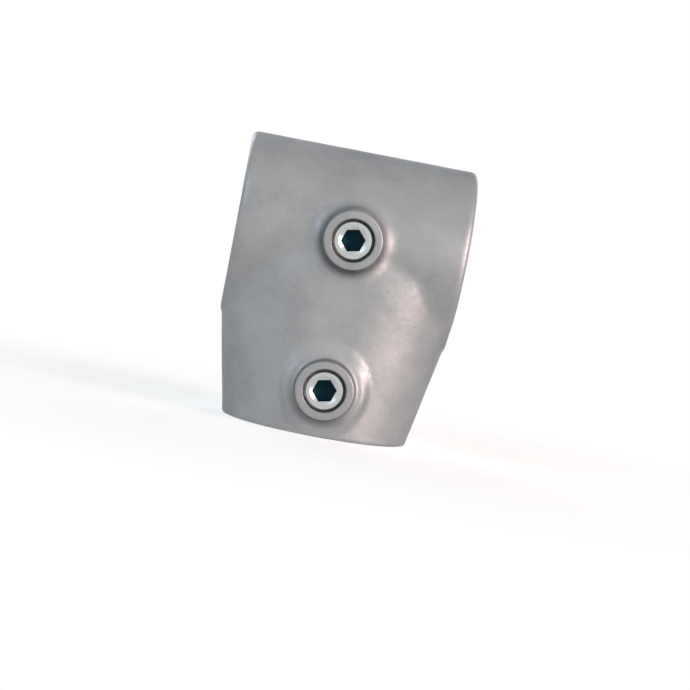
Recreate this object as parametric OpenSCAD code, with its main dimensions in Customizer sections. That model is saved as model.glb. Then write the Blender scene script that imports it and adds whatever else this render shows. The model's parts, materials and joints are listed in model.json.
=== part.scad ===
// Tube clamp tee: a short bored sleeve over a fan-shaped socket, in which a tube may lean either way.
// One casting and two set screws.
//
// The sleeve's bore runs along X through the origin. The socket's middle line runs down Z from it, and
// the set screws come in from the front, along Y.

/* [Tube] */
// Outside diameter of the tube that the fitting takes
tube_d = 48.3; // [44:0.1:52]
// Room all round a tube in the sleeve
rail_gap = 0.55; // [0.3:0.05:1]
// Room all round a tube in the socket
post_gap = 0.45; // [0.3:0.05:1]
// Furthest lean of the socket either way, in degrees
lean = 11; // [5:0.5:14]

/* [Casting] */
// Length of the sleeve
sleeve_l = 76.5; // [72:0.5:90]
// Wall of the sleeve
sleeve_wall = 4.3; // [3.8:0.1:5.5]
// Wall of the socket
socket_wall = 6; // [4.8:0.1:7]
// Distance from the sleeve's axis down to the socket's mouth
socket_reach = 65.3; // [62:0.1:80]
// Rounding of the sleeve's outer rims
rim_r = 2.2; // [1:0.1:3]
// Rounding round the outside of the socket's mouth
mouth_r = 1.4; // [0.6:0.1:1.8]
// Bevel at the mouths of the bores
bore_bevel = 0.8; // [0.3:0.1:1.2]

/* [Bosses] */
// Depth of metal from a bore to the face of its boss
thread_l = 10.3; // [9.6:0.1:12]
// Width of the flat ring round a tapped hole
boss_ring = 2.6; // [2:0.1:3.4]
// Slope of a boss's side, in degrees
boss_draft = 10; // [4:1:16]
// Rounding at the foot of a boss
flare_r = 2.6; // [1.5:0.1:3]
// Flat of the low pad round the foot of the socket's boss
pad_flat = 0.9; // [0.3:0.1:2]
// How far that pad stands off the socket
pad_rise = 0.9; // [0.5:0.1:1.4]
// Height of the socket's screw above the mouth
post_screw_up = 15.7; // [15:0.1:24]

/* [Set screws] */
// Outside diameter of a screw's thread
screw_d = 14; // [12:0.1:15]
// Depth of a screw's head below the face of its boss
head_recess = 1.1; // [0.3:0.1:1.3]
// Gap all round between a screw and its hole
screw_gap = 0.05; // [0.03:0.01:0.1]
// Gap between the tip of a backed-off screw and its bore
tip_gap = 0.2; // [0.15:0.05:0.5]
// Width of the key socket across its flats
key_w = 7; // [6:0.1:8]
// Depth of the key socket
key_depth = 4.6; // [3:0.1:5]
// Bevel at the head of a screw
head_bevel = 1; // [0.5:0.1:1.3]
// Bevel at the point of a screw
point_bevel = 2; // [1:0.1:2.5]
// Depth of the hollow in a screw's point
cup_depth = 1.8; // [1:0.1:2.2]

/* [Hidden] */
$fn = 96;

rail_bore_r = tube_d / 2 + rail_gap;
sleeve_r = rail_bore_r + sleeve_wall;
post_bore_r = tube_d / 2 + post_gap;
socket_r = post_bore_r + socket_wall;
mouth_z = -socket_reach;
post_screw_z = mouth_z + post_screw_up;
// The hollow of the socket ends this far short of the sleeve's axis
hollow_stop = 10;
hollow_depth = (socket_reach - hollow_stop) / cos(lean);
// The outside of the socket runs up through the sleeve
outer_depth = socket_reach + 2 * sleeve_r;
hole_r = screw_d / 2 + screw_gap;
boss_face_r = hole_r + boss_ring;
screw_l = thread_l - tip_gap - head_recess;

// The fan's flat front and back lie this far under its round sides, so that the faces cross cleanly
flat_dip = 0.05;
// How far a shape is let into the one that carries it
let_in = 0.3;
// Further out than any face of the casting
beyond = 120;
// Overrun of a cut past the face it starts from
overrun = 1;
// Rounding of a boss's face edge, and of the edge of the low pad
boss_edge_r = 0.6;
pad_edge_r = 1;
// The socket's front starts to close onto the sleeve at the first height and is inside it at the second
shoulder_low = -14;
shoulder_high = 8;
shoulder_y = sqrt(sleeve_r * sleeve_r - shoulder_high * shoulder_high) - let_in;
// The mouth's rounding is turned this far outside the socket's wall. The edge rises this much for each
// millimetre further out.
mouth_clear = 0.25;
mouth_rise = 0.5;
// Depths of the countersinks at a tapped hole and at a key socket. The second widens this much for each
// millimetre of height.
hole_sink = 0.3;
key_sink = 0.35;
key_sink_run = 2;
// Width of the rim round the hollow in a screw's point
point_rim = 0.5;
// Steps in each rounded corner of a turned outline, and sections round a fillet
arc_steps = 6;
fillet_turns = 48;
// How far the ball that shapes a fillet bites into the faces that it touches
fillet_bite = 0.12;

function arc(centre, r, from, to) =
    [for (i = [0 : arc_steps]) let (a = from + (to - from) * i / arc_steps) centre + r * [cos(a), sin(a)]];

// A cylinder along Z, centred, with both outer rims rounded
module round_rimmed(l, r, rim) {
    rotate_extrude() {
        translate([0, -l / 2]) square([r - rim, l]);
        translate([0, rim - l / 2]) square([r, l - 2 * rim]);
        for (side = [-1, 1]) translate([r - rim, side * (l / 2 - rim)]) circle(rim);
    }
}

// The space of a round bar as it leans either way about the middle of the mouth. The bar ends square, at
// a depth past the mouth, and the space between its two ends is roofed to match.
module fan(r, depth) {
    roof = depth - flat_dip;
    end_x = roof * sin(lean);
    end_z = roof * cos(lean);
    translate([0, 0, mouth_z]) {
        for (side = [-1, 1]) rotate([0, side * lean, 0])
            translate([0, 0, -sleeve_r]) cylinder(h = depth + sleeve_r, r = r);
        rotate([90, 0, 0]) linear_extrude(2 * (r - flat_dip), center = true)
            polygon([[0, 0], [end_x, end_z], [0, roof / cos(lean)], [-end_x, end_z]]);
    }
}

// Side view of the room for the socket: its shoulders close onto the sleeve
module socket_room() {
    half = socket_r + overrun;
    rotate([90, 0, 90]) linear_extrude(sleeve_l, center = true) polygon([
        [-half, mouth_z - overrun], [half, mouth_z - overrun], [half, shoulder_low],
        [shoulder_y, shoulder_high], [-shoulder_y, shoulder_high], [-half, shoulder_low]
    ]);
}

// All that lies above the mouth and inside its rounded edge
module mouth_trim() {
    edge = socket_r + mouth_clear;
    rotate_extrude() polygon(concat(
        [[0, mouth_z]],
        arc([edge - mouth_r, mouth_z + mouth_r], mouth_r, -90, 0),
        [[beyond, mouth_z + mouth_r + mouth_rise * (beyond - edge)], [beyond, beyond], [0, beyond]]
    ));
}

// Outline of a boss from its side over its rounded edge to the middle of its face, at a height
function boss_top(face) =
    concat(arc([boss_face_r - boss_edge_r, face - boss_edge_r], boss_edge_r, 0, 90), [[0, face]]);

// The sleeve's boss along Z, from inside the bore, which is cut later
module rail_boss() {
    face = rail_bore_r + thread_l;
    start = rail_bore_r / 2;
    rotate_extrude()
        polygon(concat([[0, start], [boss_face_r + (face - start) * tan(boss_draft), start]], boss_top(face)));
    saddle_fillet(face);
}

// Fillet between the sloped side of that boss and the sleeve, which runs along X. A ball rolls round the
// corner, and each section is the arc between the two places that it touches.
module saddle_fillet(face) {
    reach = sleeve_r + flare_r - fillet_bite;
    slope = tan(boss_draft);
    // Distance of the ball's centre from the axis of the boss, were it at height 0
    foot = boss_face_r + face * slope + (flare_r - fillet_bite) / cos(boss_draft);
    sections = [for (i = [0 : fillet_turns - 1])
        let (
            a = 360 * i / fillet_turns,
            s = sin(a) * sin(a),
            k = 1 + slope * slope * s,
            b = foot * slope * s,
            z = (b + sqrt(b * b - k * (foot * foot * s - reach * reach))) / k,
            out = [cos(a), sin(a), 0],
            ball = out * (foot - slope * z) + [0, 0, z],
            to_side = -cos(boss_draft) * out - [0, 0, sin(boss_draft)],
            to_sleeve = -[0, ball[1], z] / reach,
            between = acos(to_side * to_sleeve)
        )
        concat(
            [for (j = [0 : arc_steps]) let (t = j * between / arc_steps)
                ball + flare_r / sin(between) * (sin(between - t) * to_side + sin(t) * to_sleeve)],
            [ball + 2 * flare_r * (to_side + to_sleeve)]
        )
    ];
    n = arc_steps + 2;
    polyhedron([for (section = sections) each section], [
        for (i = [0 : fillet_turns - 1], j = [0 : n - 1])
            let (a = i * n, b = (i + 1) % fillet_turns * n, k = (j + 1) % n)
            each [[a + j, b + j, a + k], [b + j, b + k, a + k]]
    ]);
}

// The socket's boss along Z, on a low round pad
module post_boss() {
    face = post_bore_r + thread_l;
    pad = socket_r + pad_rise;
    side_foot = pad + flare_r * (1 - sin(boss_draft));
    flare_x = boss_face_r + (face - boss_edge_r - side_foot) * tan(boss_draft) + flare_r * cos(boss_draft);
    pad_r = flare_x + pad_flat + pad_edge_r;
    rotate_extrude() polygon(concat(
        [[0, post_bore_r / 2], [pad_r, post_bore_r / 2]],
        arc([pad_r - pad_edge_r, pad - pad_edge_r], pad_edge_r, 0, 90),
        arc([flare_x, pad + flare_r], flare_r, 270, 180 + boss_draft),
        boss_top(face)
    ));
}

// A tapped hole along Z, from inside its bore out through the boss face
module tapped_hole(bore_r) {
    face = bore_r + thread_l;
    translate([0, 0, bore_r / 2]) cylinder(h = face, r = hole_r);
    translate([0, 0, face - hole_sink])
        cylinder(h = hole_sink + overrun, r1 = hole_r, r2 = hole_r + hole_sink + overrun);
}

// The sleeve's bore, which starts its round at the front, and the bevels at both its ends
module rail_bore() {
    rotate([90, 0, -90]) cylinder(h = sleeve_l + 2 * overrun, r = rail_bore_r, center = true);
    for (side = [-1, 1]) rotate([0, side * 90, 0]) translate([0, 0, sleeve_l / 2 - bore_bevel])
        cylinder(h = bore_bevel + overrun, r1 = rail_bore_r, r2 = rail_bore_r + bore_bevel + overrun);
}

// Bevel inside the mouth of the socket
module mouth_bevel() {
    opening_r = post_bore_r / cos(lean);
    translate([0, 0, mouth_z - overrun])
        cylinder(h = bore_bevel + overrun, r1 = opening_r + bore_bevel + overrun, r2 = opening_r);
}

// Turns a shape made along Z to point out of the front, at a height
module at_front(z) {
    translate([0, 0, z]) rotate([90, 0, 0]) children();
}

module cast_body() {
    color([0.62, 0.63, 0.63]) difference() {
        intersection() {
            union() {
                rotate([0, 90, 0]) round_rimmed(sleeve_l, sleeve_r, rim_r);
                intersection() {
                    fan(socket_r, outer_depth);
                    socket_room();
                }
                at_front(0) rail_boss();
                at_front(post_screw_z) post_boss();
            }
            mouth_trim();
        }
        rail_bore();
        fan(post_bore_r, hollow_depth);
        mouth_bevel();
        at_front(0) tapped_hole(rail_bore_r);
        at_front(post_screw_z) tapped_hole(post_bore_r);
    }
}

// A socket set screw along Z, with its cup point down on z = 0
module set_screw() {
    r = screw_d / 2;
    point_r = r - point_bevel;
    key_r = key_w / 2 / cos(30);
    cup_r = point_r - point_rim;
    color([0.78, 0.79, 0.8]) difference() {
        rotate_extrude() polygon([
            [0, 0], [point_r, 0], [r, point_bevel], [r, screw_l - head_bevel], [r - head_bevel, screw_l],
            [0, screw_l]
        ]);
        translate([0, 0, -overrun])
            cylinder(h = cup_depth + overrun, r1 = cup_r * (1 + overrun / cup_depth), r2 = 0);
        translate([0, 0, screw_l - key_depth]) cylinder(h = key_depth + overrun, r = key_r, $fn = 6);
        translate([0, 0, screw_l - key_sink])
            cylinder(
                h = key_sink + overrun, r1 = key_w / 2, r2 = key_w / 2 + (key_sink + overrun) * key_sink_run
            );
    }
}

module rail_set_screw() {
    at_front(0) translate([0, 0, rail_bore_r + tip_gap]) set_screw();
}

module post_set_screw() {
    at_front(post_screw_z) translate([0, 0, post_bore_r + tip_gap]) set_screw();
}

cast_body();
rail_set_screw();
post_set_screw();
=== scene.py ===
"""Tube clamp tee: a galvanised casting, its bored sleeve over a fan-shaped socket, and two set screws.

Sizes in the property groups are in metres. The shaping functions work in millimetres, in the frame
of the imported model: X along the sleeve's bore, Z up from the socket's mouth, and the screws at the
front, -Y. They take the casting's sizes as s and the screws' as w.
"""

import itertools
import json
import math

import bmesh
import bpy
import numpy as np
from mathutils import Matrix, Vector


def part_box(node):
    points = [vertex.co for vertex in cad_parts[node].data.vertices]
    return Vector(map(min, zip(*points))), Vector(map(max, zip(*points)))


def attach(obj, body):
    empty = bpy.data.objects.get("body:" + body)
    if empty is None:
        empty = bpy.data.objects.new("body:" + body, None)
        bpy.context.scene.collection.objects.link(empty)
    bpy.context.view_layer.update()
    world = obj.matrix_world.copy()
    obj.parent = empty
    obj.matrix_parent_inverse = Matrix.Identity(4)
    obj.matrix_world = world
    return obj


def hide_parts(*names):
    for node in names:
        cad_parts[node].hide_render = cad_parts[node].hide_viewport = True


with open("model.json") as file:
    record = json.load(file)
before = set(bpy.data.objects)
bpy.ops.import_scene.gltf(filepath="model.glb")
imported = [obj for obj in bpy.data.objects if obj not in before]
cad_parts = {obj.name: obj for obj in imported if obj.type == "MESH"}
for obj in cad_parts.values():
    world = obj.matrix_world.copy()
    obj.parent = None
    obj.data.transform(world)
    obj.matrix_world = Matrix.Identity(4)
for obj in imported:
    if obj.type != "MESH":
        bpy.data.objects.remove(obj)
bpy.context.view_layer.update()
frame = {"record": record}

bl_info = {
    "name": "Tube clamp tee",
    "version": (1, 0, 0),
    "blender": (4, 5, 0),
    "location": "3D View > Sidebar > Clamp tee",
    "description": "Builds the casting, its set screws and a plain stage round the packed model",
    "category": "Object",
}

MM = 1000.0
MOUNTS = {m["name"]: m for m in frame["record"]["mounts"]}
SLEEVE_BORE_R = MOUNTS["rail_sleeve"]["dims"]["r_mm"] / MM
SOCKET_BORE_R = MOUNTS["post_socket_left"]["dims"]["r_mm"] / MM
CAST_LOW, CAST_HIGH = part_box("cast_body")
RAIL_SCREW_LOW, RAIL_SCREW_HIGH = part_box("rail_set_screw")
POST_SCREW_LOW, POST_SCREW_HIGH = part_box("post_set_screw")
SCREW_R = (RAIL_SCREW_HIGH.z - RAIL_SCREW_LOW.z) / 2
SCREW_LENGTH = RAIL_SCREW_HIGH.y - RAIL_SCREW_LOW.y
POST_SCREW_Z = (POST_SCREW_LOW.z + POST_SCREW_HIGH.z) / 2


# Sizes and colours


def length(name, description, default, low=0.0, high=0.2):
    """A length that a user may change, in metres."""
    return bpy.props.FloatProperty(
        name=name, description=description, default=default, min=low, max=high,
        precision=5, unit="LENGTH", subtype="DISTANCE",
    )


def turn(name, description, degrees):
    """An angle that a user may change."""
    return bpy.props.FloatProperty(
        name=name, description=description, default=math.radians(degrees),
        unit="ROTATION", subtype="ANGLE",
    )


def colour(name, description, default):
    """A colour that a user may change."""
    return bpy.props.FloatVectorProperty(
        name=name, description=description, default=default,
        size=3, min=0.0, max=1.0, subtype="COLOR",
    )


def share(name, description, default, high=1.0):
    """A plain factor that a user may change."""
    return bpy.props.FloatProperty(
        name=name, description=description, default=default, min=0.0, max=high, subtype="FACTOR",
    )


def power(name, description, default):
    """A lamp's power."""
    return bpy.props.FloatProperty(
        name=name, description=description, default=default, min=0.0, unit="POWER", subtype="POWER",
    )


class TeeCastingSizes(bpy.types.PropertyGroup):
    """Sizes of the casting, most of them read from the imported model"""

    sleeve_r: length("Sleeve radius", "Outside radius of the sleeve", CAST_HIGH.z)
    sleeve_half: length("Half sleeve", "Half of the sleeve's length", CAST_HIGH.x)
    sleeve_bore_r: length("Sleeve bore", "Radius of the sleeve's bore", SLEEVE_BORE_R)
    socket_r: length("Socket radius", "Outside radius of the socket", CAST_HIGH.y)
    socket_bore_r: length("Socket bore", "Radius of the socket's bore", SOCKET_BORE_R)
    mouth_z: length("Mouth height", "Place of the socket's mouth along Z", CAST_LOW.z, -0.2)
    hollow_stop: length("Hollow's end", "How far the hollow ends below the sleeve's axis", 0.010)
    lean: turn("Lean", "Furthest lean of the socket either way", 11)
    rim_r: length("Rim rounding", "Rounding of the sleeve's outer rims", 0.0022)
    mouth_r: length("Mouth rounding", "Rounding round the outside of the mouth", 0.0009)
    crease_r: length("Crease fillet", "Fillet where the socket meets the sleeve", 0.0040)
    crease_soft: length("Least crease", "Width of the blend where the crease runs out flat", 0.0007)
    bevel: length("Bore bevel", "Bevel at the mouths of the bores", 0.0008)
    rail_face: length("Upper boss face", "How far its face stands in front of the axis", -CAST_LOW.y)
    post_face: length("Lower boss face", "How far its face stands in front of the axis", 0.0349)
    face_r: length("Boss face radius", "Radius of a boss at its face", 0.00965)
    face_edge_r: length("Boss edge", "Rounding of a boss's face edge", 0.0006)
    draft: turn("Boss draft", "Slope of a boss's side", 10)
    rail_flare_r: length("Upper flare", "Fillet at the foot of the upper boss", 0.0048)
    post_flare_r: length("Lower flare", "Fillet at the foot of the lower boss", 0.0015)
    pad_r: length("Pad radius", "Radius of the low pad round the lower boss, at its top", 0.0134)
    pad_rise: length("Pad height", "How far the pad stands off the socket", 0.0009)
    pad_slope: turn("Pad slope", "Slope of the pad's side", 18)
    pad_edge_r: length("Pad edge", "Rounding of the pad's edge", 0.0030)
    pad_fillet_r: length("Pad fillet", "Fillet at the foot of the pad", 0.0045)
    hole_r: length("Tapped hole", "Radius over the crests of the tapped hole's thread", 0.00705)
    shoulder_z: length("Shoulder height", "Where the socket's front starts to close", -0.0105, -0.2)
    shoulder_slope: turn("Shoulder slope", "How fast the socket's front closes", 10.4)
    shoulder_fall: turn("Shoulder fall", "How fast the closing front falls away to the sides", 10.8)
    shoulder_width: length("Shoulder width", "How far from the middle that fall sets in", 0.012)
    shoulder_r: length("Shoulder rounding", "Rounding of the line where it starts", 0.060)
    shoulder_top: length("Shoulder top", "How far up the front reaches inside the sleeve", 0.008)
    ripple: length("Ripple", "Height of the casting's slow surface waves", 0.00005)
    grid: length("Grid", "Mesh step of the cast skin", 0.00065, 0.0003, 0.003)


class TeeScrewSizes(bpy.types.PropertyGroup):
    """Sizes of a set screw and of the thread that it runs in"""

    radius: length("Radius", "Outside radius of the thread", SCREW_R)
    length: length("Length", "Length of a screw", SCREW_LENGTH)
    pitch: length("Pitch", "Advance of the thread in one turn", 0.0015)
    depth: length("Thread depth", "Depth of the screw's thread", 0.0008)
    hole_depth: length("Hole thread depth", "Depth of the thread cut into the casting", 0.0006)
    head_bevel: length("Head bevel", "Bevel at the head", 0.0010)
    point_bevel: length("Point bevel", "Bevel at the point", 0.0020)
    cup_depth: length("Cup depth", "Depth of the hollow in the point", 0.0018)
    point_rim: length("Point rim", "Width of the rim round that hollow", 0.0005)
    key_width: length("Key width", "Width of the key socket across its flats", 0.0070)
    key_depth: length("Key depth", "Depth of the key socket", 0.0046)
    key_lead: length("Key lead-in", "Depth of the bevel at the key socket's mouth", 0.00065)
    key_turn: turn("Key turn", "How far the key socket is turned about the screw's axis", 11.25)


class TeeFinish(bpy.types.PropertyGroup):
    """Colours and roughness of the two finishes"""

    zinc: colour("Zinc", "Middle colour of the galvanised skin", (0.350, 0.360, 0.368))
    zinc_dark: colour("Dull zinc", "Darker patches of the galvanised skin", (0.298, 0.309, 0.318))
    zinc_pale: colour("Pale zinc", "Paler patches of the galvanised skin", (0.418, 0.428, 0.435))
    zinc_edge: colour("Zinc edge", "Tint of the skin's grazing reflections", (0.48, 0.51, 0.55))
    # painted shade: a dark colour mixed into the zinc at the feet of the bosses, heaviest at their
    # lower left
    painted_shade: colour("Painted_shade", "Colour of the grime at the feet of the bosses", (0.10, 0.105, 0.10))
    painted_shade_share: share("Grime share", "How much the grime covers at its thickest", 0.6)
    zinc_metal: share("Zinc metal", "How metallic the galvanised skin is", 0.8)
    zinc_rough: share("Zinc roughness", "Middle roughness of the galvanised skin", 0.49)
    steel: colour("Plated steel", "Colour of the set screws", (0.50, 0.52, 0.52))
    steel_dull: colour("Dull steel", "Colour of the smudges on the set screws", (0.40, 0.42, 0.42))
    steel_rough: share("Steel roughness", "Roughness of the set screws", 0.28)
    # painted shade: a near-black colour down inside the key sockets
    key_painted_shade: colour("Key socket", "Colour down inside the key socket", (0.004, 0.016, 0.024))


class TeeStage(bpy.types.PropertyGroup):
    """Lamps, floor and background"""

    key: power("Key lamp", "Power of the lamp at the right of the camera", 5.6)
    front: power("Front lamp", "Power of the lamp between the camera and the key lamp", 0.7)
    upper: power("Upper lamp", "Power of the lamp above the camera and to its left", 1.1)
    fill: power("Fill lamp", "Power of the lamp at the left of the camera", 0.4)
    back: power("Back lamps", "Power of each of the two lamps behind", 1.8)
    ambient: share("Ambient", "Strength of the light that comes from all round", 0.08, 2.0)
    floor: colour("Floor", "Colour of the floor", (0.86, 0.86, 0.86))
    floor_lift: share("Floor lift", "Light that the camera sees on the floor near the object", 0.62)


# Meshes


def place_in_scene(name, data):
    """An object at the origin for a mesh, lamp or camera."""
    obj = bpy.data.objects.new(name, data)
    bpy.context.scene.collection.objects.link(obj)
    return obj


def new_object(name, verts, faces, material=None):
    """A mesh object at the origin, in metres, from points in millimetres."""
    mesh = bpy.data.meshes.new(name)
    mesh.from_pydata((np.asarray(verts, float) / MM).tolist(), [], faces)
    mesh.update()
    if material:
        mesh.materials.append(material)
    return place_in_scene(name, mesh)


def remove(obj):
    """Deletes a helper object and its mesh."""
    mesh = obj.data
    bpy.data.objects.remove(obj)
    bpy.data.meshes.remove(mesh)


def modified_mesh(obj):
    """An object's mesh as its modifiers leave it, as a plain mesh of its own."""
    bpy.context.view_layer.update()
    shown = obj.evaluated_get(bpy.context.evaluated_depsgraph_get())
    return bpy.data.meshes.new_from_object(shown)


def lathe(rows, sides, threaded=()):
    """Points and faces of a closed turned shape along Z: each row is (radius, height), either of them
    one number or one for each side. The first and last rows have radius 0. Faces point outwards when
    the rows run from the bottom to the top. The third result marks the threaded rows' points."""
    angles = 2 * np.pi * np.arange(sides) / sides
    verts, faces, marks = [(0.0, 0.0, float(np.mean(rows[0][1])))], [], [0.0]
    for number, (radius, height) in enumerate(rows[1:-1], 1):
        radius, height = np.broadcast_to(radius, sides), np.broadcast_to(height, sides)
        verts += zip(radius * np.cos(angles), radius * np.sin(angles), height)
        marks += [float(number in threaded)] * sides
    verts.append((0.0, 0.0, float(np.mean(rows[-1][1]))))
    marks.append(0.0)
    last = len(verts) - 1
    around = [(i, (i + 1) % sides) for i in range(sides)]
    faces += [(0, 1 + b, 1 + a) for a, b in around]
    for ring in range(len(rows) - 3):
        low, high = 1 + ring * sides, 1 + (ring + 1) * sides
        faces += [(low + a, low + b, high + b, high + a) for a, b in around]
    faces += [(last, last - sides + a, last - sides + b) for a, b in around]
    return verts, faces, marks


def to_front(height):
    """Turns a shape made along Z, in metres, to point out of the front at a height in mm."""
    return Matrix.Translation((0, 0, height / MM)) @ Matrix.Rotation(math.pi / 2, 4, "X")


def cut(obj, cutter):
    """Takes a cutter's volume out of an object, whose mesh is replaced. The cutter goes too."""
    modifier = obj.modifiers.new("cut", "BOOLEAN")
    modifier.operation = "DIFFERENCE"
    modifier.solver = "MANIFOLD"
    modifier.object = cutter
    made = modified_mesh(obj)
    obj.modifiers.remove(modifier)
    if len(made.vertices) in (0, len(obj.data.vertices)):
        raise RuntimeError(f"{cutter.name} did not cut {obj.name}")
    old, obj.data = obj.data, made
    bpy.data.meshes.remove(old)
    remove(cutter)


def clean_cuts(obj, widest):
    """Takes out what cuts leave where they meet: slivers up to a width in mm and doubled triangles."""
    mesh = bmesh.new()
    mesh.from_mesh(obj.data)
    bmesh.ops.dissolve_degenerate(mesh, dist=widest / MM, edges=mesh.edges)
    bmesh.ops.triangulate(mesh, faces=mesh.faces)
    # where two faces meet along a nearly straight line, both can be split into the same triangle
    same = {}
    for face in mesh.faces:
        same.setdefault(frozenset(face.verts), []).append(face)
    paired = [face for faces in same.values() if len(faces) > 1 for face in faces]
    bmesh.ops.delete(mesh, geom=paired, context="FACES")
    mesh.to_mesh(obj.data)
    mesh.free()


def shade(obj, sharp_degrees):
    """Smooth shading that breaks at edges sharper than an angle."""
    mesh = obj.data
    mesh.polygons.foreach_set("use_smooth", np.ones(len(mesh.polygons), bool))
    mesh.set_sharp_from_angle(angle=math.radians(sharp_degrees))
    mesh.update()


# The cast skin as a distance field. Each part's field comes with directions that point away from it.

TINY = 1e-9  # keeps a division by a length from failing
LEAST_BLEND = 1e-6  # keeps a blend from having no width
FACING_SPARE = 2.0  # how much too long a boss is before it is faced, in mm
PAD_DEPTH = 8.0  # how far the pad reaches back from its top, in mm
SHOULDER_TOP_BLEND = 4.0  # width of the blend at the top of the closing front, in mm
WAVE_FADE = 4.0  # height over the mouth at which the surface's waves are at their full, in mm
MARGIN_CELLS = 2.6  # how far the grid reaches past the skin, in cells


def ball_k(dot, r):
    """Width of a blend like that of a ball of radius r rolled into a corner, from its normals' dot."""
    return np.maximum(4 * r * (1 - np.sqrt(np.clip((1 + dot) / 2, 0, 1))), LEAST_BLEND)


def soft_min(a, b, k):
    """The lower of two fields, blended over a width. Also gives the share of the first."""
    h = np.clip(0.5 + 0.5 * (b - a) / k, 0, 1)
    return b + (a - b) * h - k * h * (1 - h), h


def soft_max(a, b, k):
    """The higher of two fields, blended over a width."""
    return -soft_min(-a, -b, k)[0]


def joined(a, n_a, b, n_b, r, least=0.0):
    """Two solids as one, with a fillet of radius r that has at least a width."""
    out, kept = soft_min(a, b, ball_k(np.sum(n_a * n_b, -1), r) + least)
    n = n_a * kept[..., None] + n_b * (1 - kept[..., None])
    return out, n / np.maximum(np.linalg.norm(n, axis=-1), TINY)[..., None]


def sleeve_field(p, s):
    """The sleeve as a round bar along X, without its ends."""
    x, y, z = p[..., 0], p[..., 1], p[..., 2]
    across = np.hypot(y, z)
    safe = np.maximum(across, TINY)
    return across - s["sleeve_r"], np.stack([np.zeros_like(x), y / safe, z / safe], -1)


def socket_field(p, s):
    """The socket as a bar that swings through the lean about the middle of the mouth. Its front and
    back close onto the sleeve, and fall away towards the sides as they do."""
    x, y, z = p[..., 0], p[..., 1], p[..., 2]
    rise = z - s["mouth_z"]
    swing = np.clip(np.arctan2(x, rise), -s["lean"], s["lean"])
    sx, sz = np.sin(swing), np.cos(swing)
    along = x * sx + rise * sz
    off = np.stack([x - along * sx, y, rise - along * sz], -1)
    gap = np.maximum(np.linalg.norm(off, axis=-1), TINY)

    slope, width = s["shoulder_slope"], s["shoulder_width"]
    fall = math.tan(s["shoulder_fall"]) * (np.hypot(x, width) - width)
    reach = s["socket_r"] - fall + (s["shoulder_z"] - z) * math.tan(slope)
    shoulder = (np.abs(y) - reach) * math.cos(slope)
    fan = soft_max(gap - s["socket_r"], shoulder, ball_k(math.cos(slope), s["shoulder_r"]))
    return soft_max(fan, z - s["shoulder_top"], SHOULDER_TOP_BLEND), off / gap[..., None]


def cone_field(p, height, face_r, face, slope):
    """The side of a round shape along Y at a height, which widens backwards from its face."""
    dx, dz = p[..., 0], p[..., 2] - height
    radius = np.maximum(np.hypot(dx, dz), TINY)
    field = (radius - face_r - (face + p[..., 1]) * math.tan(slope)) * math.cos(slope)
    back = np.full_like(dx, -math.sin(slope))
    return field, np.stack([dx / radius * math.cos(slope), back, dz / radius * math.cos(slope)], -1)


def boss_field(p, s, face, height):
    """A boss with a drafted side, left long, to be faced later."""
    out = -p[..., 1]
    side, n_side = cone_field(p, height, s["face_r"], face, s["draft"])
    return np.maximum(np.maximum(side, out - face - FACING_SPARE), -out), n_side


def pad_field(p, s):
    """The low pad round the lower boss, with a sloping side and a rounded edge."""
    out = -p[..., 1]
    top, slope = s["socket_r"] + s["pad_rise"], s["pad_slope"]
    side, n_side = cone_field(p, s["post_z"], s["pad_r"], top, slope)
    depth, on_side = soft_min(-side, top - out, ball_k(math.sin(slope), s["pad_edge_r"]))
    n = n_side * on_side[..., None] - np.array([0, 1.0, 0]) * (1 - on_side[..., None])
    return np.maximum(-depth, top - PAD_DEPTH - out), n


def wave_set(seed, count, shortest, longest):
    """Directions and phases of the surface's slow waves, the same in each run."""
    rng = np.random.default_rng(seed)
    out = []
    for _ in range(count):
        d = rng.normal(size=3)
        d *= 2 * np.pi / rng.uniform(shortest, longest) / np.linalg.norm(d)
        out.append((*d, rng.uniform(0, 2 * np.pi)))
    return out


WAVES = wave_set(seed=7, count=14, shortest=9.0, longest=26.0)


def waves(p):
    """Slow waves of a sand-cast surface, from 0 to 2."""
    total = np.zeros(p.shape[:-1])
    for ax, ay, az, phase in WAVES:
        total += np.sin(ax * p[..., 0] + ay * p[..., 1] + az * p[..., 2] + phase)
    return 1 + np.clip(total / math.sqrt(2 * len(WAVES)), -1, 1)


def skin_field(p, s):
    """Distance in mm from the casting's outer skin, negative inside, at points p."""
    x, rise = p[..., 0], p[..., 2] - s["mouth_z"]
    skin, n = joined(*sleeve_field(p, s), *socket_field(p, s), s["crease_r"], s["crease_soft"])
    # sleeve and socket end flush, with a rounded rim
    skin = soft_max(skin, np.abs(x) - s["sleeve_half"], ball_k(n[..., 0] * np.sign(x), s["rim_r"]))
    skin, n = joined(skin, n, *boss_field(p, s, s["rail_face"], 0.0), s["rail_flare_r"])
    skin, n = joined(skin, n, *pad_field(p, s), s["pad_fillet_r"])
    skin, n = joined(skin, n, *boss_field(p, s, s["post_face"], s["post_z"]), s["post_flare_r"])
    skin = soft_max(skin, -rise, ball_k(-n[..., 2], s["mouth_r"]))
    # the waves all go inwards, and there are none at the flat mouth
    return skin + s["ripple"] * waves(p) * np.clip(rise / WAVE_FADE, 0, 1)


def gradient(field, p, step=0.02):
    """Slope of a field at points."""
    out = np.empty_like(p)
    for axis in range(3):
        shift = np.zeros(3)
        shift[axis] = step
        out[..., axis] = (field(p + shift) - field(p - shift)) / (2 * step)
    return out


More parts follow.
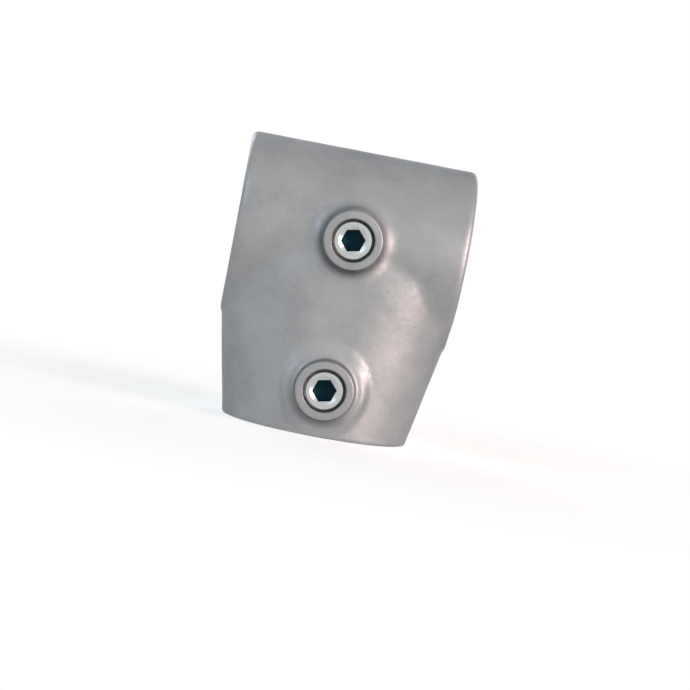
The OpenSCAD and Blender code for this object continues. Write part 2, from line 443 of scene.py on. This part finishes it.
def net_points(values):
    """The grid cells that a field's zero surface crosses, as a number for each cell and -1 elsewhere,
    and the mean of the places where it crosses each one's edges, counted in cells."""
    inside = values < 0
    size = np.array(values.shape) - 1
    corners = list(itertools.product((0, 1), repeat=3))
    total = np.zeros(size, int)
    for i, j, k in corners:
        total += inside[i:i + size[0], j:j + size[1], k:k + size[2]]
    cells = np.argwhere((total > 0) & (total < len(corners)))
    number = np.full(size, -1)
    number[tuple(cells.T)] = np.arange(len(cells))
    at = np.zeros((len(cells), 3))
    count = np.zeros(len(cells))
    for start, axis in itertools.product(corners, range(3)):
        if start[axis]:
            continue
        end = list(start)
        end[axis] = 1
        first, last = values[tuple((cells + start).T)], values[tuple((cells + end).T)]
        crossed = (first < 0) != (last < 0)
        t = np.where(crossed, first / np.where(crossed, first - last, 1), 0)
        spot = np.array(start, float) + t[:, None] * (np.array(end) - np.array(start))
        at += spot * crossed[:, None]
        count += crossed
    return number, cells + at / count[:, None]


def net_faces(inside, number):
    """A four-sided face round each grid edge that the surface crosses, between its four cells."""
    faces = []
    for axis in range(3):
        u, v = (axis + 1) % 3, (axis + 2) % 3
        near = [slice(1, -1)] * 3
        near[axis] = slice(0, -1)
        far = list(near)
        far[axis] = slice(1, None)
        first, second = inside[tuple(near)], inside[tuple(far)]
        for rising in (False, True):
            spots = np.argwhere((first & ~second) if rising else (~first & second))
            spots[:, u] += 1
            spots[:, v] += 1
            ring = []
            for du, dv in ((0, 0), (-1, 0), (-1, -1), (0, -1)):
                cell = spots.copy()
                cell[:, u] += du
                cell[:, v] += dv
                ring.append(number[tuple(cell.T)])
            faces.append(np.stack(ring if rising else ring[::-1], -1))
    return np.concatenate(faces)


def surface_net(field, low, high, step):
    """Points and four-sided faces of a field's zero surface, with one point in each crossed cell."""
    axes = [np.arange(a, b + step, step) for a, b in zip(low, high)]
    values = np.empty([len(a) for a in axes])
    yy, zz = np.meshgrid(axes[1], axes[2], indexing="ij")
    for i, x in enumerate(axes[0]):
        values[i] = field(np.stack([np.full_like(yy, x), yy, zz], -1))
    number, cells = net_points(values)
    return np.array(low) + cells * step, net_faces(values < 0, number)


def settle(points, faces, field, even_rounds, last_rounds=3, pull=0.5):
    """Evens out a surface net's points and puts each one on the field's zero surface."""
    ends = np.concatenate([faces[:, [i, (i + 1) % 4]] for i in range(4)])
    near = np.bincount(ends[:, 0], minlength=len(points))
    for step in range(even_rounds + last_rounds):
        slope = gradient(field, points)
        size2 = np.maximum(np.sum(slope**2, -1), TINY)
        points = points - slope * (field(points) / size2)[:, None]
        if step < even_rounds:
            sums = [np.bincount(ends[:, 0], points[ends[:, 1], i], len(points)) for i in range(3)]
            move = np.stack([total / near for total in sums], -1) - points
            normal = slope / np.sqrt(size2)[:, None]
            move -= normal * np.sum(move * normal, -1)[:, None]
            points = points + pull * move
    return points


def in_mm(group):
    """A property group's lengths in millimetres, with its angles as they are."""
    out = {}
    for prop in group.bl_rna.properties:
        if prop.identifier not in ("rna_type", "name"):
            unit = 1 if prop.subtype == "ANGLE" else MM
            out[prop.identifier] = getattr(group, prop.identifier) * unit
    return out


# The cutters, in mm

PAST = 1.0  # how far a cutter reaches past the skin
SOCKET_LEVELS = (8, 16, 24, 32, 40)  # heights over the mouth at which the hollow has a row of points
SOCKET_SIDES = 96
SLEEVE_SIDES = 288
FACING_SIDES = 144
THREAD_SIDES = 96
THREAD_ROWS = 10  # rows of points in one turn of a thread


def hollow_cutter(s):
    """The socket's hollow: a round bar's space as it leans either way, with a bevelled mouth."""
    tan, mouth, roof = math.tan(s["lean"]), s["mouth_z"], -s["hollow_stop"]
    end_x = (roof - mouth) * tan
    top = roof + end_x * tan
    half = SOCKET_SIDES // 2 + 1
    theta = np.linspace(np.pi / 2, 3 * np.pi / 2, half)
    levels = [(mouth - PAST, s["bevel"] + PAST), (mouth + s["bevel"], 0.0)]
    levels += [(mouth + rise, 0.0) for rise in SOCKET_LEVELS] + [(None, 0.0)]
    least_rise = 0.25  # keeps the two halves apart at the mouth
    verts = []
    for z, grow in levels:
        rx, ry = s["socket_bore_r"] / math.cos(s["lean"]) + grow, s["socket_bore_r"] + grow
        cx, cy = rx * np.cos(theta), ry * np.sin(theta)
        if z is None:
            # the roof falls away from its ridge, square to each furthest bar
            zz = (top + tan * (cx + mouth * tan)) / (1 + tan * tan)
            xx = cx - (zz - mouth) * tan
            ridge = top
        else:
            zz = np.full_like(cx, z)
            xx = cx - max(z - mouth, least_rise) * tan
            ridge = z
        left = list(zip(xx, cy, zz))
        right = [(-a, b, c) for a, b, c in left[::-1]]
        verts += left + [(0.0, -ry, ridge)] + right + [(0.0, ry, ridge)]
    ring = len(verts) // len(levels)
    faces = []
    for level in range(len(levels) - 1):
        low, high = level * ring, (level + 1) * ring
        around = [(i, (i + 1) % ring) for i in range(ring)]
        faces += [(low + a, low + b, high + b, high + a) for a, b in around]
    faces.append(list(range(ring))[::-1])
    start = (len(levels) - 1) * ring
    faces.append([start + i for i in list(range(half + 1)) + [ring - 1]])
    faces.append([start + i for i in range(half, ring)])
    return new_object("hollow_cutter", verts, faces)


def bore_cutter(s):
    """The sleeve's bore, with a bevel at each end."""
    r, half, b = s["sleeve_bore_r"], s["sleeve_half"], s["bevel"]
    wide, end = r + b + PAST, half + PAST
    rows = [(0, -end), (wide, -end), (r, b - half), (r, half - b), (wide, end), (0, end)]
    obj = new_object("bore_cutter", *lathe(rows, SLEEVE_SIDES)[:2])
    obj.data.transform(Matrix.Rotation(math.pi / 2, 4, "Y"))
    return obj


def facing_cutter(s, face, height):
    """What is faced off a boss, down to its flat face and rounded edge."""
    e, steps, edge_turn = s["face_edge_r"], 7, math.radians(78)
    centre_r, centre_h = s["face_r"] - e, face - e
    angles = np.linspace(0, edge_turn, steps)
    arc = [(centre_r + e * math.sin(a), centre_h + e * math.cos(a)) for a in angles]
    clear = 1.2  # how far it reaches out and back from the edge
    wide, end = arc[-1][0] + clear, face + 2 * FACING_SPARE
    rows = [(0, face)] + arc + [(wide, arc[-1][1] - clear), (wide, end), (0, end)]
    obj = new_object("facing_cutter", *lathe(rows, FACING_SIDES)[:2])
    obj.data.transform(to_front(height))
    return obj


def straight_rows(low, high, radius, step):
    """Rows of one radius from one height to another."""
    count = max(2, int(round((high - low) / step)) + 1)
    return [(radius, h) for h in np.linspace(low, high, count)]


def tapped_cutter(s, w, face, height, bore_r, material):
    """A tapped hole: a thread of the screw's pitch whose crests clear the screw."""
    crest, outer = s["hole_r"], s["hole_r"] + w["hole_depth"]
    low = bore_r / 2
    sink = 0.3  # depth of the bevel at its mouth
    shank = straight_rows(low, face - sink, outer, w["pitch"] / THREAD_ROWS)
    rows = [(0, low)] + shank
    rows += [(crest, face - sink), (crest + sink + PAST, face + PAST), (0, face + PAST)]
    shape = lathe(rows, THREAD_SIDES, range(1, len(shank) + 1))
    obj = cut_thread("tap", shape, outer, w["hole_depth"], w["pitch"], material)
    obj.data.transform(to_front(height))
    return obj


# Node trees

WHITE = (1.0, 1.0, 1.0, 1.0)


class Nodes:
    """Short calls for building a node tree, from empty."""

    def __init__(self, tree):
        self.tree = tree
        self.tree.nodes.clear()

    def add(self, kind, settings=None, **inputs):
        """A node with settings and inputs, each a value or another node's output."""
        node = self.tree.nodes.new(kind)
        for name, value in (settings or {}).items():
            setattr(node, name, value)
        for name, value in inputs.items():
            self.fill(node.inputs[name.replace("_", " ")], value)
        return node

    def fill(self, socket, value):
        """Links an output to an input, or sets its value."""
        if isinstance(value, bpy.types.NodeSocket):
            self.tree.links.new(value, socket)
        else:
            socket.default_value = value

    def calculate(self, kind, a, b=0.0):
        """A sum, product or other function of one or two values."""
        node = self.add("ShaderNodeMath", {"operation": kind})
        self.fill(node.inputs[0], a)
        self.fill(node.inputs[1], b)
        return node.outputs[0]

    def spread(self, value, low, high, to_low=0.0, to_high=1.0):
        """A value's place between two limits, from 0 to 1 or between two other limits."""
        limits = {"From_Min": low, "From_Max": high, "To_Min": to_low, "To_Max": to_high}
        return self.add("ShaderNodeMapRange", Value=value, **limits).outputs["Result"]

    def noise(self, place, scale, detail, roughness):
        """Soft noise round 0.5."""
        node = self.add(
            "ShaderNodeTexNoise", Vector=place, Scale=scale, Detail=detail, Roughness=roughness
        )
        return node.outputs["Fac"]

    def mix(self, amount, a, b):
        """A colour between two."""
        node = self.add("ShaderNodeMix", {"data_type": "RGBA"})
        self.fill(node.inputs[0], amount)
        for socket, value in ((node.inputs[6], a), (node.inputs[7], b)):
            self.fill(socket, value if isinstance(value, bpy.types.NodeSocket) else (*value, 1.0))
        return node.outputs[2]

    def mix_shaders(self, amount, a, b):
        """A shader between two."""
        node = self.add("ShaderNodeMixShader")
        for socket, value in zip(node.inputs, (amount, a, b)):
            self.fill(socket, value)
        return node.outputs[0]

    def about_axis(self, place, height):
        """Coordinates about an axis along Y at a height in mm: all together, each, and the distance
        from it."""
        down = (0, 0, -height / MM)
        centred = self.add("ShaderNodeMapping", Vector=place, Location=down).outputs[0]
        x, y, z = self.add("ShaderNodeSeparateXYZ", Vector=centred).outputs
        return centred, x, y, z, self.hypotenuse(x, z)

    def hypotenuse(self, a, b):
        """Distance from the origin in a plane."""
        squares = (self.calculate("MULTIPLY", v, v) for v in (a, b))
        return self.calculate("SQRT", self.calculate("ADD", *squares))

    def seen(self):
        """1 for what the camera sees, also by way of gloss or glass, and 0 for other light."""
        path = self.add("ShaderNodeLightPath").outputs
        either = self.calculate("MAXIMUM", path["Is Camera Ray"], path["Is Glossy Ray"])
        return self.calculate("MAXIMUM", either, path["Is Transmission Ray"])


# The thread, made by geometry nodes

CREST_FLAT, ROOT_FLAT = 0.07, 0.43  # where a flank starts and ends, in pitches from a crest


def thread_tree():
    """A node tree that cuts a helical groove into the marked points of a turned shape along Z."""
    tree = bpy.data.node_groups.new("helical_thread", "GeometryNodeTree")
    sockets = tree.interface
    sockets.new_socket("Geometry", in_out="INPUT", socket_type="NodeSocketGeometry")
    for name in ("Crest radius", "Groove depth", "Pitch"):
        item = sockets.new_socket(name, in_out="INPUT", socket_type="NodeSocketFloat")
        item.subtype = "DISTANCE"
    sockets.new_socket("Finish", in_out="INPUT", socket_type="NodeSocketMaterial")
    sockets.new_socket("Geometry", in_out="OUTPUT", socket_type="NodeSocketGeometry")

    m = Nodes(tree)
    given = m.add("NodeGroupInput").outputs
    place = m.add("GeometryNodeInputPosition").outputs[0]
    x, y, z = m.add("ShaderNodeSeparateXYZ", Vector=place).outputs
    radius = m.hypotenuse(x, y)
    turns = m.calculate("DIVIDE", m.calculate("ARCTAN2", y, x), 2 * math.pi)
    phase = m.calculate("SUBTRACT", m.calculate("DIVIDE", z, given["Pitch"]), turns)
    # 0 on the crests and 1 in the roots, with narrow flats on both
    tooth = m.spread(m.calculate("PINGPONG", phase, 0.5), CREST_FLAT, ROOT_FLAT)
    depth = m.calculate("MULTIPLY", tooth, given["Groove depth"])
    wanted = m.calculate("MINIMUM", radius, m.calculate("SUBTRACT", given["Crest radius"], depth))
    scale = m.calculate("DIVIDE", wanted, m.calculate("MAXIMUM", radius, 1e-6))
    x, y = m.calculate("MULTIPLY", x, scale), m.calculate("MULTIPLY", y, scale)
    moved = m.add("ShaderNodeCombineXYZ", X=x, Y=y, Z=z).outputs[0]
    mark = m.add("GeometryNodeInputNamedAttribute", {"data_type": "FLOAT"}, Name="threaded")
    above = {"data_type": "FLOAT", "operation": "GREATER_THAN"}
    chosen = m.add("FunctionNodeCompare", above, A=mark.outputs["Attribute"], B=0.5).outputs["Result"]
    shape = m.add(
        "GeometryNodeSetPosition", Geometry=given["Geometry"], Selection=chosen, Position=moved
    ).outputs["Geometry"]
    shape = m.add("GeometryNodeRealizeInstances", Geometry=shape).outputs["Geometry"]
    shape = m.add("GeometryNodeSetMaterial", Geometry=shape, Material=given["Finish"])
    m.add("NodeGroupOutput", Geometry=shape.outputs["Geometry"])
    return tree


def cut_thread(name, shape, crest_r, depth, pitch, material):
    """A turned shape as an object whose marked rows carry a thread, as a plain mesh."""
    verts, faces, marks = shape
    blank = new_object(name + "_blank", verts, faces, material)
    mark = blank.data.attributes.new("threaded", "FLOAT", "POINT")
    mark.data.foreach_set("value", np.array(marks, np.float32))
    tree = bpy.data.node_groups.get("helical_thread") or thread_tree()
    modifier = blank.modifiers.new("thread", "NODES")
    modifier.node_group = tree
    ids = {i.name: i.identifier for i in tree.interface.items_tree if i.in_out == "INPUT"}
    modifier[ids["Crest radius"]] = crest_r / MM
    modifier[ids["Groove depth"]] = depth / MM
    modifier[ids["Pitch"]] = pitch / MM
    modifier[ids["Finish"]] = material
    mesh = modified_mesh(blank)
    blank.modifiers.clear()
    remove(blank)
    mesh.name = name
    if "threaded" in mesh.attributes:
        mesh.attributes.remove(mesh.attributes["threaded"])
    return place_in_scene(name, mesh)


def key_socket(w, top):
    """Rows of the six-sided key socket, from the flat head down to the cone that its drill left."""
    flat, lead = w["key_width"] / 2, w["key_lead"]
    angles = 2 * np.pi * np.arange(THREAD_SIDES) / THREAD_SIDES
    hexagon = flat / np.cos((angles - w["key_turn"]) % (np.pi / 3) - np.pi / 6)
    floor = top - w["key_depth"]
    flank_end, edge, cone_depth = 0.25, 0.05, 0.9
    flank_taper, floor_r, cone_r = 0.985, flat * 0.93, flat * 0.90
    return [
        (flat + 2 * lead, top),
        (hexagon, top - lead + (hexagon - flat) / 2),
        (hexagon, floor + flank_end),
        (hexagon * flank_taper, floor + edge),
        (floor_r, floor),
        (cone_r, floor - edge),
        (0, floor - cone_depth),
    ]


def set_screw(name, w, tip, height, material):
    """A set screw with a cup point, a cut thread and a key socket, in its place at the front."""
    r, top, point_r = w["radius"], w["length"], w["radius"] - w["point_bevel"]
    step, edge = w["pitch"] / THREAD_ROWS, 0.1
    start = [(0, w["cup_depth"]), (point_r - w["point_rim"], 0.0), (point_r - edge, 0.0)]
    shank = [(point_r + h, h) for h in np.arange(step / 2, w["point_bevel"], step)]
    shank += straight_rows(w["point_bevel"], top - w["head_bevel"], r, step)
    shank += [(r - h, top - w["head_bevel"] + h) for h in np.arange(step, w["head_bevel"], step)]
    rows = start + shank + [(r - w["head_bevel"], top)] + key_socket(w, top)
    shape = lathe(rows, THREAD_SIDES, range(len(start), len(start) + len(shank)))
    obj = cut_thread(name, shape, r, w["depth"], w["pitch"], material)
    obj.data.transform(Matrix.Translation((0, 0, tip / MM)))
    obj.data.transform(to_front(height))
    shade(obj, sharp_degrees=20)
    return obj


# Materials. Their sizes are in metres, because they read object coordinates.

CLOUD_SHARE, GRAIN_SHARE = 0.55, 0.22  # how much pale zinc the clouds and the grains show at most
SMUDGE_SHARE = 0.3  # how dull a smudge on a screw gets
# Painted shade at the feet of the bosses: a darker ring mixed into the zinc's colour, heaviest at the
# lower left.
PAINTED_SHADE_INNER = (0.0094, 0.0106)  # between these radii about a boss's axis the painted shade sets in
PAINTED_SHADE_OUTER = (0.0130, 0.0110)  # and between these it is gone again
PAINTED_SHADE_FRONT = (-0.0250, -0.0262)  # between these places along Y it sets in too
PAINTED_SHADE_SIDE = (-0.3, -0.95)  # the direction in which it is thickest, along X and Z
PAINTED_SHADE_ELSEWHERE = 0.05  # how much there is on the other side
KEY_DEPTH_SHADE = (0.0006, 0.0014)  # depths below the head between which the painted shade in the key socket sets in
KEY_RADIUS_SHADE = (0.0046, 0.0043)  # and the radii


def new_material(name):
    """A material and short calls for its node tree."""
    material = bpy.data.materials.new(name)
    material.use_nodes = True
    return material, Nodes(material.node_tree)


def boss_painted_shade(m, place, height, most):
    """How much painted shade covers the foot of the boss at a height, most of it at the lower left."""
    _, x, y, z, radius = m.about_axis(place, height)
    ring = m.calculate("MULTIPLY", m.spread(radius, *PAINTED_SHADE_INNER), m.spread(radius, *PAINTED_SHADE_OUTER))
    ring = m.calculate("MULTIPLY", ring, m.spread(y, *PAINTED_SHADE_FRONT))
    sideways, upwards = (m.calculate("MULTIPLY", v, g) for v, g in zip((x, z), PAINTED_SHADE_SIDE))
    facing = m.calculate("DIVIDE", m.calculate("ADD", sideways, upwards), radius)
    return m.calculate("MULTIPLY", ring, m.spread(facing, 0.0, 0.9, PAINTED_SHADE_ELSEWHERE, most))


def galvanised_iron(f):
    """Dull galvanised iron: soft grey patches, fine grains of zinc and a slightly uneven skin."""
    material, m = new_material("galvanised_iron")
    place = m.add("ShaderNodeTexCoord").outputs["Object"]
    patches = m.spread(m.noise(place, scale=95.0, detail=3.0, roughness=0.55), 0.36, 0.64)
    clouds = m.spread(m.noise(place, scale=38.0, detail=2.0, roughness=0.5), 0.38, 0.66)
    grain = m.noise(place, scale=900.0, detail=3.0, roughness=0.6)
    swells = m.noise(place, scale=190.0, detail=2.0, roughness=0.5)
    grains = m.add("ShaderNodeTexVoronoi", {"feature": "F1"}, Vector=place, Scale=620.0)
    tint = m.add("ShaderNodeSeparateColor", Color=grains.outputs["Color"]).outputs[0]
    base = m.mix(patches, f.zinc_dark, f.zinc)
    base = m.mix(m.calculate("MULTIPLY", clouds, CLOUD_SHARE), base, f.zinc_pale)
    base = m.mix(m.spread(tint, 0.0, 1.0, to_low=0.0, to_high=GRAIN_SHARE), base, f.zinc_pale)
    # painted shade at the feet of both bosses, heaviest at their lower left
    for height in (0.0, POST_SCREW_Z * MM):
        base = m.mix(boss_painted_shade(m, place, height, f.painted_shade_share), base, f.painted_shade)
    rough = m.spread(patches, 0.0, 1.0, to_low=-0.06, to_high=0.06)
    rough = m.calculate("ADD", rough, f.zinc_rough)
    rough = m.calculate("ADD", rough, m.spread(grain, 0.3, 0.7, to_low=-0.05, to_high=0.05))
    skin = m.add("ShaderNodeBump", Strength=0.22, Distance=0.0002, Height=grain).outputs[0]
    skin = m.add(
        "ShaderNodeBump", Strength=0.2, Distance=0.0006, Height=swells, Normal=skin
    ).outputs[0]
    shader = m.add(
        "ShaderNodeBsdfPrincipled", Base_Color=base, Roughness=rough, Normal=skin,
        Metallic=f.zinc_metal, Specular_Tint=(*f.zinc_edge, 1.0),
    )
    m.add("ShaderNodeOutputMaterial", Surface=shader.outputs[0])
    return material


def plated_steel(f, w, name, tip, height):
    """Bright zinc plating with turning marks about a screw's axis, and painted shade down in its key
    socket.
    """
    material, m = new_material(name)
    place = m.add("ShaderNodeTexCoord").outputs["Object"]
    centred, _, y, _, radius = m.about_axis(place, height)
    head = -(tip + w["length"]) / MM
    deep = m.spread(y, *(head + depth for depth in KEY_DEPTH_SHADE))
    # painted shade down inside the key socket, below the head and inside the hexagon
    painted_socket_shade = m.calculate("MULTIPLY", deep, m.spread(radius, *KEY_RADIUS_SHADE))
    marks = m.add(
        "ShaderNodeTexWave", {"wave_type": "RINGS", "rings_direction": "Y"}, Vector=centred,
        Scale=2600.0, Distortion=0.6, Detail=1.0,
    ).outputs["Fac"]
    smudge = m.spread(m.noise(place, scale=420.0, detail=2.0, roughness=0.5), 0.35, 0.65)
    base = m.mix(m.calculate("MULTIPLY", smudge, SMUDGE_SHARE), f.steel, f.steel_dull)
    base = m.mix(painted_socket_shade, base, f.key_painted_shade)
    rough = m.spread(smudge, 0.0, 1.0, to_low=-0.04, to_high=0.06)
    rough = m.calculate("ADD", rough, f.steel_rough)
    bump = m.add("ShaderNodeBump", Strength=0.12, Distance=0.00005, Height=marks).outputs[0]
    shader = m.add(
        "ShaderNodeBsdfPrincipled", Base_Color=base, Roughness=rough, Normal=bump, Metallic=1.0,
    )
    m.add("ShaderNodeOutputMaterial", Surface=shader.outputs[0])
    return material


# Operators


class TEE_OT_make_casting(bpy.types.Operator):
    """Build the cast body: its outer skin, then its bores, hollow, faced bosses and tapped holes"""

    bl_idname = "tee.make_casting"
    bl_label = "Make casting"

    def execute(self, context):
        s = in_mm(context.scene.tee_casting)
        w = in_mm(context.scene.tee_screw)
        s["post_z"] = POST_SCREW_Z * MM
        material = galvanised_iron(context.scene.tee_finish)

        def field(p):
            return skin_field(p, s)

        margin = MARGIN_CELLS * s["grid"]
        half, front = s["sleeve_half"] + margin, s["rail_face"] + FACING_SPARE + margin
        low = [-half, -front, s["mouth_z"] - margin]
        high = [half, s["socket_r"] + margin, s["sleeve_r"] + margin]
        points, faces = surface_net(field, low, high, s["grid"])
        points = settle(points, faces, field, even_rounds=6)
        casting = new_object("tee_casting", points, faces.tolist(), material)
        for cutter in (
            facing_cutter(s, s["rail_face"], 0.0),
            facing_cutter(s, s["post_face"], s["post_z"]),
            bore_cutter(s),
            hollow_cutter(s),
            tapped_cutter(s, w, s["rail_face"], 0.0, s["sleeve_bore_r"], material),
            tapped_cutter(s, w, s["post_face"], s["post_z"], s["socket_bore_r"], material),
        ):
            cut(casting, cutter)
        clean_cuts(casting, widest=0.002)
        casting.data.name = "tee_casting"
        shade(casting, sharp_degrees=32)
        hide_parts("cast_body")
        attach(casting, "casting")
        return {"FINISHED"}


class TEE_OT_make_screws(bpy.types.Operator):
    """Build the two set screws, threaded, each in its tapped hole and on its own body"""

    bl_idname = "tee.make_screws"
    bl_label = "Make set screws"

    def execute(self, context):
        w = in_mm(context.scene.tee_screw)
        finish = context.scene.tee_finish
        for name, node, body, low, high in (
            ("rail_grub_screw", "rail_set_screw", "rail_screw", RAIL_SCREW_LOW, RAIL_SCREW_HIGH),
            ("post_grub_screw", "post_set_screw", "post_screw", POST_SCREW_LOW, POST_SCREW_HIGH),
        ):
            tip, height = -high.y * MM, (low.z + high.z) / 2 * MM
            material = plated_steel(finish, w, name + "_plating", tip, height)
            screw = set_screw(name, w, tip, height, material)
            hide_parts(node)
            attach(screw, body)
        return {"FINISHED"}


# How far the camera is turned from a level look along Y, in degrees: right, up and tilted left
CAMERA_AZIMUTH, CAMERA_ELEVATION, CAMERA_ROLL = 2.607, -3.726, 10.878
CAMERA_PLACE = (-0.03825, -0.95613, 0.02643)
CAMERA_LENS, CAMERA_SENSOR = 149.074, 36.0  # in mm
# The lamps stand round this place, at this distance
LIT_PLACE = (0.0, 0.0, -0.02)
LAMP_DISTANCE = 0.9
# For each lamp its power's name, azimuth and elevation in degrees from the camera, width and tint
LAMPS = {
    "key_lamp": ("key", 60, 0, 0.5, (1.0, 0.74, 0.68)),
    "front_lamp": ("front", 30, 0, 0.5, (1.0, 0.96, 0.9)),
    "upper_lamp": ("upper", -40, 36, 0.5, (0.62, 0.84, 1.0)),
    "fill_lamp": ("fill", -70, 10, 0.5, (0.4, 0.62, 1.0)),
    "back_lamp_right": ("back", 158, 12, 0.4, (1.0, 0.98, 0.95)),
    "back_lamp_left": ("back", -155, 25, 0.4, (0.95, 0.98, 1.0)),
}
FLOOR_HALF = 6.0
FLOOR_FADE = (0.10, 0.22)  # between these distances the floor, as the camera sees it, turns white


def camera_turn():
    """The camera's turn, whose columns point right, up and back."""
    azimuth, elevation, roll = map(math.radians, (CAMERA_AZIMUTH, CAMERA_ELEVATION, CAMERA_ROLL))
    level = Matrix.Rotation(-azimuth, 4, "Z") @ Matrix.Rotation(math.pi / 2 + elevation, 4, "X")
    return level @ Matrix.Rotation(roll, 4, "Z")


class TEE_OT_make_stage(bpy.types.Operator):
    """Set up the camera, lamps, floor and background"""

    bl_idname = "tee.make_stage"
    bl_label = "Make stage"

    def execute(self, context):
        scene, stage = context.scene, context.scene.tee_stage
        scene.view_settings.view_transform = "Standard"
        self.camera(scene)
        self.floor(stage)
        self.world(scene, stage)
        self.lamps(stage)
        return {"FINISHED"}

    def lamps(self, stage):
        for name, (watts, azimuth, elevation, size, tint) in LAMPS.items():
            a, e = math.radians(azimuth), math.radians(elevation)
            away = Vector((math.sin(a) * math.cos(e), math.sin(e), math.cos(a) * math.cos(e)))
            away = camera_turn().to_3x3() @ away
            data = bpy.data.lights.new(name, "AREA")
            data.shape, data.size, data.color = "DISK", size, tint
            data.energy = getattr(stage, watts)
            lamp = place_in_scene(name, data)
            lamp.location = Vector(LIT_PLACE) + away * LAMP_DISTANCE
            lamp.rotation_euler = (-away).to_track_quat("-Z", "Y").to_euler()

    def camera(self, scene):
        data = bpy.data.cameras.new("camera")
        data.lens, data.sensor_width = CAMERA_LENS, CAMERA_SENSOR
        data.clip_start, data.clip_end = 0.01, 50.0
        camera = place_in_scene("camera", data)
        camera.matrix_world = Matrix.Translation(CAMERA_PLACE) @ camera_turn()
        scene.camera = camera

    def floor(self, stage):
        material, m = new_material("pale_floor")
        matt = m.add("ShaderNodeBsdfDiffuse", Color=(*stage.floor, 1.0)).outputs[0]
        lift = m.add("ShaderNodeEmission", Color=WHITE, Strength=stage.floor_lift).outputs[0]
        near = m.add("ShaderNodeAddShader")
        m.fill(near.inputs[0], matt)
        m.fill(near.inputs[1], lift)
        white = m.add("ShaderNodeEmission", Color=WHITE, Strength=1.0).outputs[0]
        place = m.add("ShaderNodeTexCoord").outputs["Object"]
        away = m.add("ShaderNodeVectorMath", {"operation": "LENGTH"}, Vector=place).outputs["Value"]
        shown = m.mix_shaders(m.spread(away, *FLOOR_FADE), near.outputs[0], white)
        m.add("ShaderNodeOutputMaterial", Surface=m.mix_shaders(m.seen(), matt, shown))
        edge, height = FLOOR_HALF * MM, CAST_LOW.z * MM
        corners = [(x * edge, y * edge, height) for x, y in ((-1, -1), (1, -1), (1, 1), (-1, 1))]
        floor = new_object("floor", corners, [(0, 1, 2, 3)], material)

    def world(self, scene, stage):
        world = bpy.data.worlds.new("studio")
        scene.world = world
        world.use_nodes = True
        m = Nodes(world.node_tree)
        soft = m.add("ShaderNodeBackground", Color=WHITE, Strength=stage.ambient).outputs[0]
        white = m.add("ShaderNodeBackground", Color=WHITE, Strength=1.0).outputs[0]
        m.add("ShaderNodeOutputWorld", Surface=m.mix_shaders(m.seen(), soft, white))


class TEE_PT_sidebar(bpy.types.Panel):
    """Lists the steps that build the tee"""

    bl_idname = "TEE_PT_sidebar"
    bl_label = "Clamp tee"
    bl_space_type = "VIEW_3D"
    bl_region_type = "UI"
    bl_category = "Clamp tee"

    def draw(self, context):
        for operator in OPERATORS:
            self.layout.operator(operator.bl_idname)


GROUPS = {
    "tee_casting": TeeCastingSizes,
    "tee_screw": TeeScrewSizes,
    "tee_finish": TeeFinish,
    "tee_stage": TeeStage,
}
OPERATORS = (TEE_OT_make_casting, TEE_OT_make_screws, TEE_OT_make_stage)


def register():
    """Adds the classes, and the property groups to the scene."""
    for cls in (*GROUPS.values(), *OPERATORS, TEE_PT_sidebar):
        bpy.utils.register_class(cls)
    for name, group in GROUPS.items():
        setattr(bpy.types.Scene, name, bpy.props.PointerProperty(type=group))


def unregister():
    """Takes away what register added."""
    for name in GROUPS:
        delattr(bpy.types.Scene, name)
    for cls in (TEE_PT_sidebar, *OPERATORS[::-1], *list(GROUPS.values())[::-1]):
        bpy.utils.unregister_class(cls)


def main():
    """Builds everything in order."""
    register()
    bpy.ops.tee.make_casting()
    bpy.ops.tee.make_screws()
    bpy.ops.tee.make_stage()


if __name__ == "__main__":
    main()
